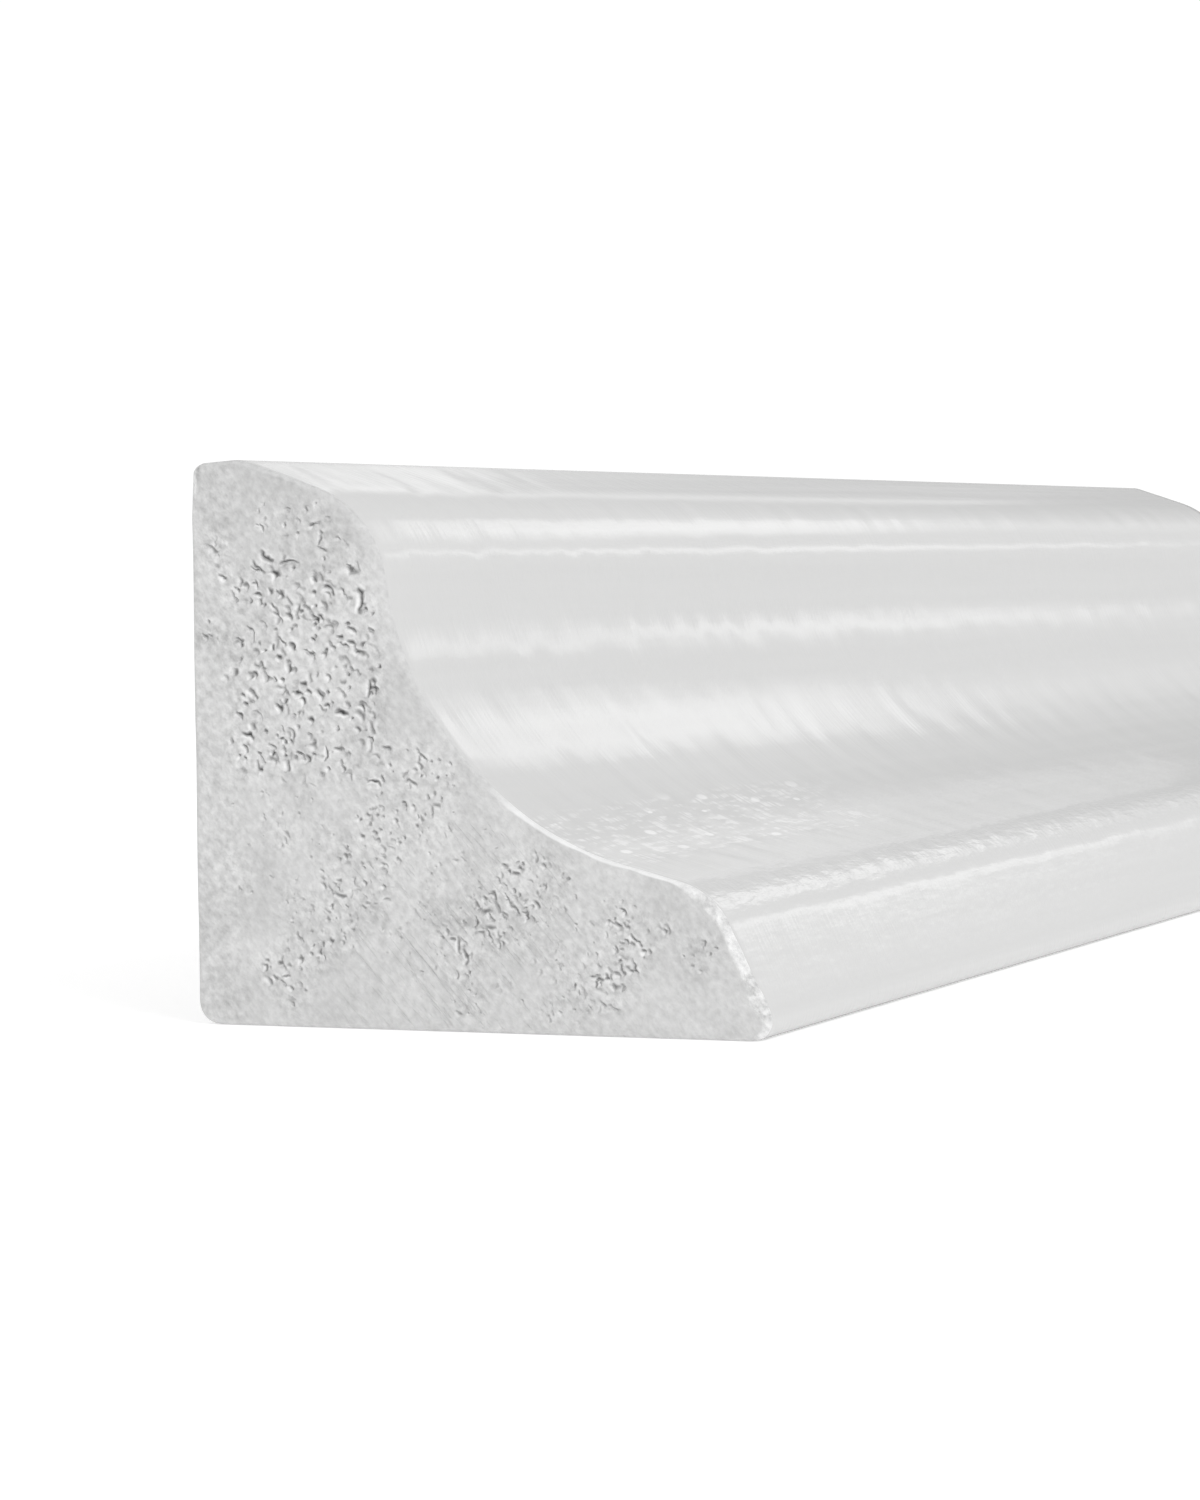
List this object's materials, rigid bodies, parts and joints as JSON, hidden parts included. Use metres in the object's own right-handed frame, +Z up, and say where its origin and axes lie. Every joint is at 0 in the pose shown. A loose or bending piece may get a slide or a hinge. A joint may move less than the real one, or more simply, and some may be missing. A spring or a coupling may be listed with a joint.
{
  "type": "inside corner moulding",
  "caption": "Straight length of white inside corner moulding with a coved profile, a flat wall face and a flat base, cut square, for covering an inside corner.",
  "frame": {"origin": "centre of the base, under the middle of the length", "axes": "+X along the length, from the end that the picture shows to the far end; +Y out of the flat wall face; +Z up out of the base"},
  "size_m": [0.11, 0.0206, 0.019],
  "materials": {
    "foamed_polymer": "white foamed polymer, glossy moulded skin with fine ripples, rough porous sawn ends"
  },
  "bodies": {
    "root": {"moulding": "foamed_polymer"}
  },
  "joints": []
}
